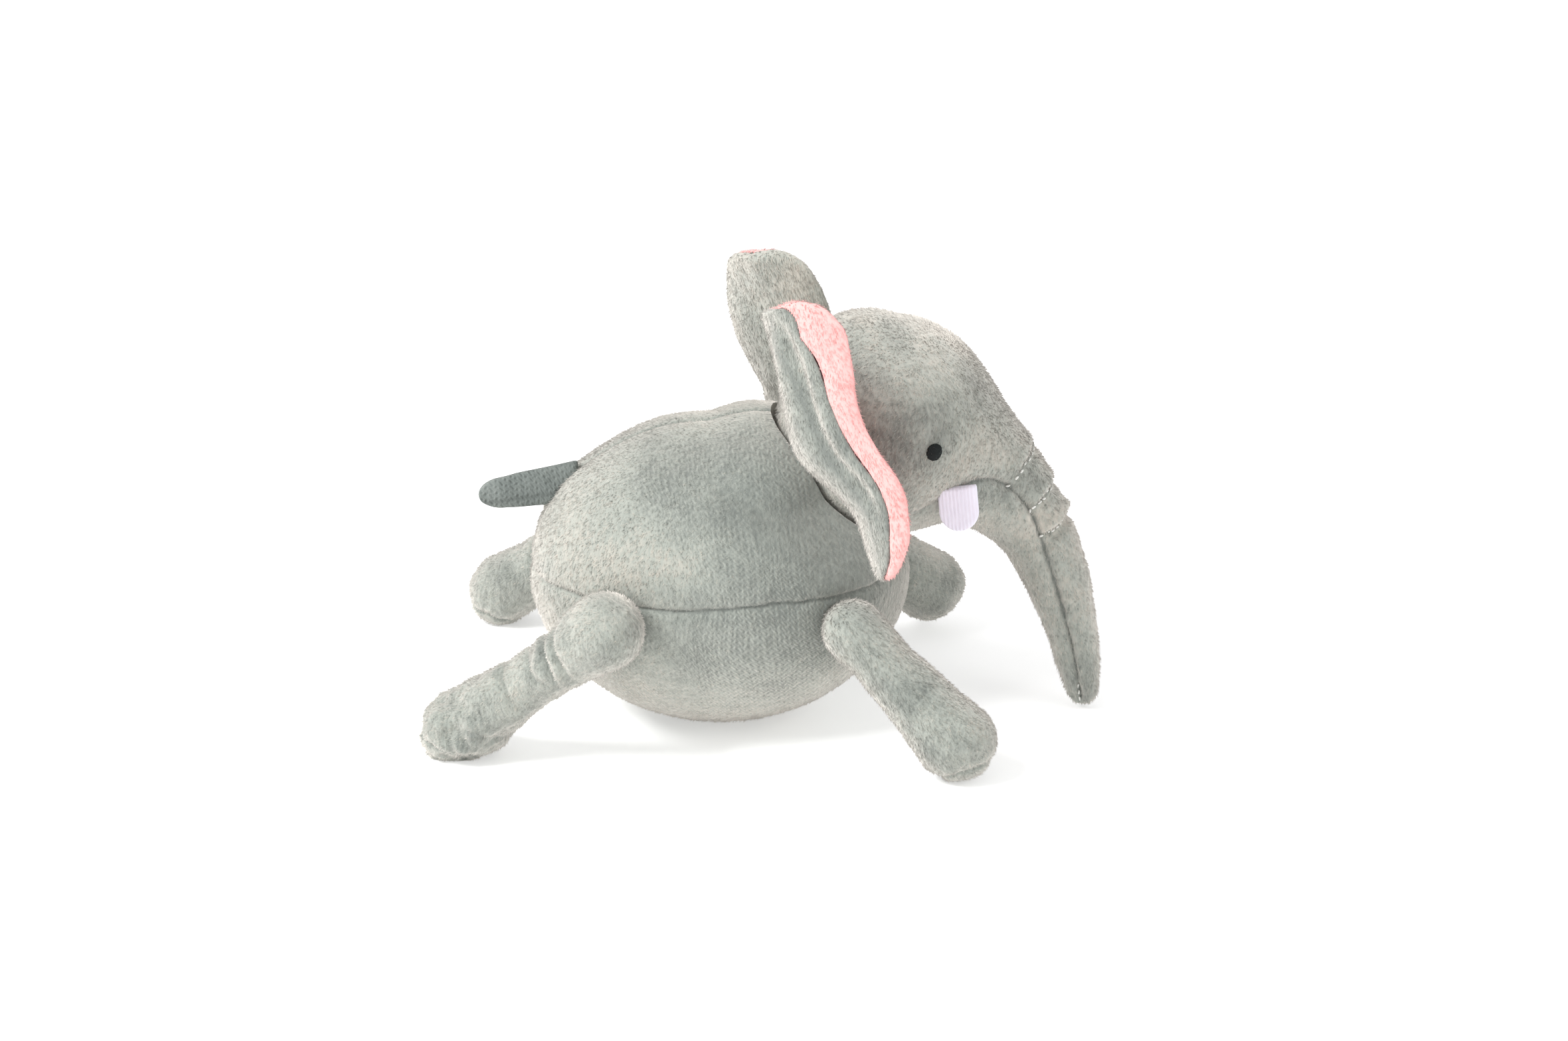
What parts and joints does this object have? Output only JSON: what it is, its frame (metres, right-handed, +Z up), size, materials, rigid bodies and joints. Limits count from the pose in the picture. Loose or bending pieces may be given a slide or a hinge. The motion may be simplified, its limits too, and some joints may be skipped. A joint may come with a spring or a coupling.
{
  "type": "stuffed elephant",
  "caption": "Plush elephant lying on a round belly, legs spread, with a long curved trunk, padded ears with pink linings and a flat tail.",
  "frame": {"origin": "middle of the flat patch of the belly, on the surface that the toy lies on", "axes": "+X towards the trunk, +Y to the elephant's left, +Z up"},
  "size_m": [0.2022, 0.1646, 0.1392],
  "materials": {
    "grey_plush": "matte",
    "dark_grey_knit": "matte",
    "pink_plush": "matte",
    "pale_lilac_felt": "matte",
    "black_thread": "satin",
    "silver_thread": "satin",
    "polyester_filling": "matte"
  },
  "bodies": {
    "torso": {"torso_belly_panel": "grey_plush", "torso_stuffing": "polyester_filling", "torso_upper_left_panel": "grey_plush", "torso_upper_right_panel": "grey_plush"},
    "head": {"first_crease_stitches": "silver_thread", "head_chin_panel": "grey_plush", "head_stuffing": "polyester_filling", "head_top_panel": "grey_plush", "left_eye": "black_thread", "left_tusk": "pale_lilac_felt", "right_eye": "black_thread", "right_tusk": "pale_lilac_felt", "second_crease_stitches": "silver_thread"},
    "trunk": {"third_crease_stitches": "silver_thread", "trunk_stuffing": "polyester_filling", "trunk_top_panel": "grey_plush", "trunk_under_panel": "grey_plush"},
    "right_ear": {"right_ear_back_panel": "grey_plush", "right_ear_lining": "pink_plush"},
    "left_ear": {"left_ear_back_panel": "grey_plush", "left_ear_lining": "pink_plush"},
    "tail": {"tail_left_layer": "dark_grey_knit", "tail_right_layer": "dark_grey_knit"},
    "right_front_leg": {"right_front_leg_lower_panel": "grey_plush", "right_front_leg_stuffing": "polyester_filling", "right_front_leg_upper_panel": "grey_plush", "right_front_sole": "grey_plush"},
    "left_front_leg": {"left_front_leg_lower_panel": "grey_plush", "left_front_leg_stuffing": "polyester_filling", "left_front_leg_upper_panel": "grey_plush", "left_front_sole": "grey_plush"},
    "right_hind_leg": {"right_hind_leg_lower_panel": "grey_plush", "right_hind_leg_stuffing": "polyester_filling", "right_hind_leg_upper_panel": "grey_plush", "right_hind_sole": "grey_plush"},
    "left_hind_leg": {"left_hind_leg_lower_panel": "grey_plush", "left_hind_leg_stuffing": "polyester_filling", "left_hind_leg_upper_panel": "grey_plush", "left_hind_sole": "grey_plush"}
  },
  "joints": [
    {"name": "head_nod", "type": "hinge", "parent": "torso", "child": "head", "pos_m": [0.05, 0, 0.092], "axis": [0, 1, 0], "range_deg": [-20, 15], "stiffness_Nm_per_rad": 1.5},
    {"name": "trunk_curl", "type": "hinge", "parent": "head", "child": "trunk", "pos_m": [0.093, 0, 0.062], "axis": [0, 1, 0], "range_deg": [-25, 20], "stiffness_Nm_per_rad": 0.15},
    {"name": "right_ear_fold", "type": "hinge", "parent": "head", "child": "right_ear", "pos_m": [0.03772, -0.03132, 0.09691], "axis": [-0.3306, 0.2712, 0.904], "range_deg": [-25, 20], "stiffness_Nm_per_rad": 0.06},
    {"name": "left_ear_fold", "type": "hinge", "parent": "head", "child": "left_ear", "pos_m": [0.03772, 0.03132, 0.09691], "axis": [-0.3306, -0.2712, 0.904], "range_deg": [-25, 15], "stiffness_Nm_per_rad": 0.06},
    {"name": "right_front_leg_swing", "type": "hinge", "parent": "torso", "child": "right_front_leg", "pos_m": [0.03959, -0.04353, 0.04263], "axis": [0, 1, 0], "range_deg": [-25, 20], "stiffness_Nm_per_rad": 0.3},
    {"name": "left_front_leg_swing", "type": "hinge", "parent": "torso", "child": "left_front_leg", "pos_m": [0.03959, 0.04353, 0.04263], "axis": [0, 1, 0], "range_deg": [-25, 20], "stiffness_Nm_per_rad": 0.3},
    {"name": "right_hind_leg_swing", "type": "hinge", "parent": "torso", "child": "right_hind_leg", "pos_m": [-0.03265, -0.05156, 0.04559], "axis": [0, 1, 0], "range_deg": [-15, 25], "stiffness_Nm_per_rad": 0.3},
    {"name": "left_hind_leg_swing", "type": "hinge", "parent": "torso", "child": "left_hind_leg", "pos_m": [-0.03265, 0.05156, 0.04559], "axis": [0, 1, 0], "range_deg": [-20, 25], "stiffness_Nm_per_rad": 0.3},
    {"name": "tail_wag", "type": "hinge", "parent": "torso", "child": "tail", "pos_m": [-0.0465, 0, 0.07519], "axis": [0.6702, 0, 0.7422], "range_deg": [-20, 20], "stiffness_Nm_per_rad": 0.01}
  ]
}
